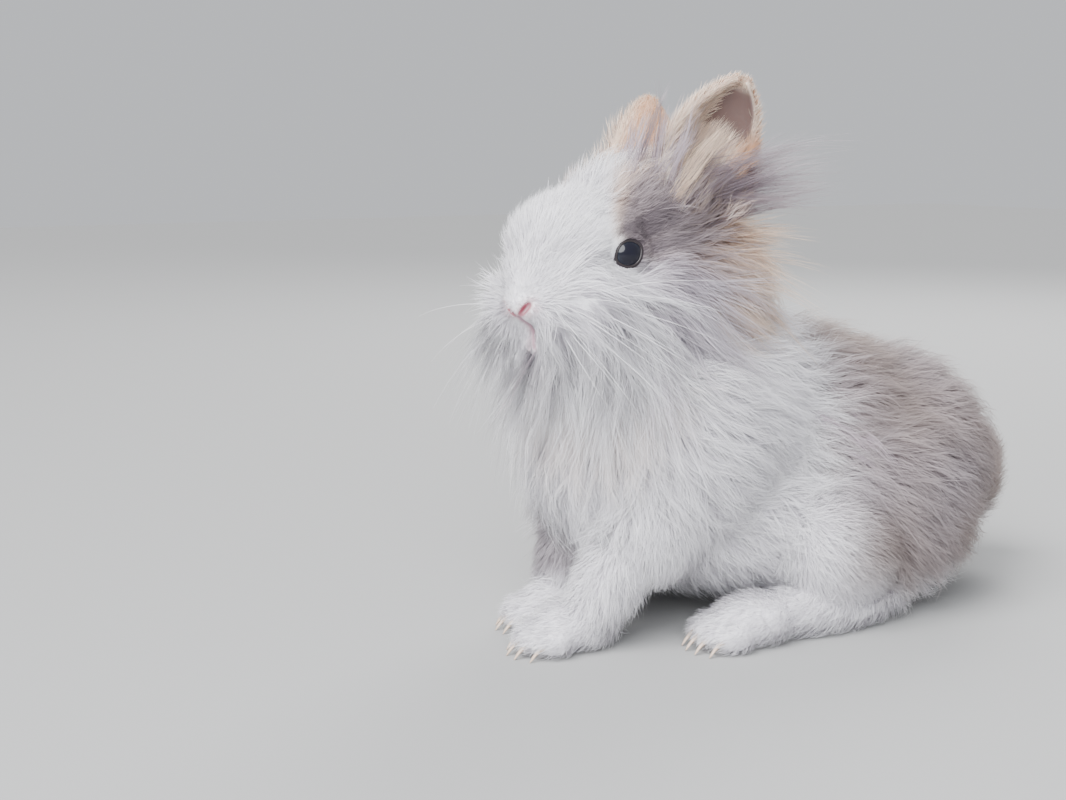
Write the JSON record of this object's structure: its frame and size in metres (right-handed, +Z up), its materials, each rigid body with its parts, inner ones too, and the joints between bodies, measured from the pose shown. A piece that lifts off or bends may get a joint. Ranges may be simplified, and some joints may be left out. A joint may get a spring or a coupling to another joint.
{
  "type": "domestic rabbit",
  "caption": "Young long-haired rabbit sitting alert, head turned and ears up, with a shaggy coat in white, grey and fawn: a still, life-size display model.",
  "frame": {"origin": "centre of the rabbit's box at floor level, under the belly", "axes": "+Y along the body towards the tail, so the rabbit faces -Y; +X to its left side; +Z up"},
  "size_m": [0.1302, 0.2523, 0.2054],
  "materials": {
    "white_coat": "soft long fur, matt with a faint sheen",
    "grey_coat": "soft long fur, grey with paler tips",
    "fawn_coat": "short soft fur over thin skin",
    "dark_eye": "wet, glossy, almost black",
    "bare_skin": "soft pink skin, slightly moist",
    "claw_horn": "pale translucent horn",
    "whisker_hair": "stiff white hair"
  },
  "bodies": {
    "root": {"head": "white_coat", "neck": "white_coat", "torso": "white_coat", "tail": "grey_coat", "ear_left": "fawn_coat", "ear_right": "fawn_coat", "eye_left": "dark_eye", "eye_right": "dark_eye", "foreleg_left": "white_coat", "foreleg_right": "white_coat", "hindleg_left": "grey_coat", "hindleg_right": "grey_coat"}
  },
  "joints": []
}
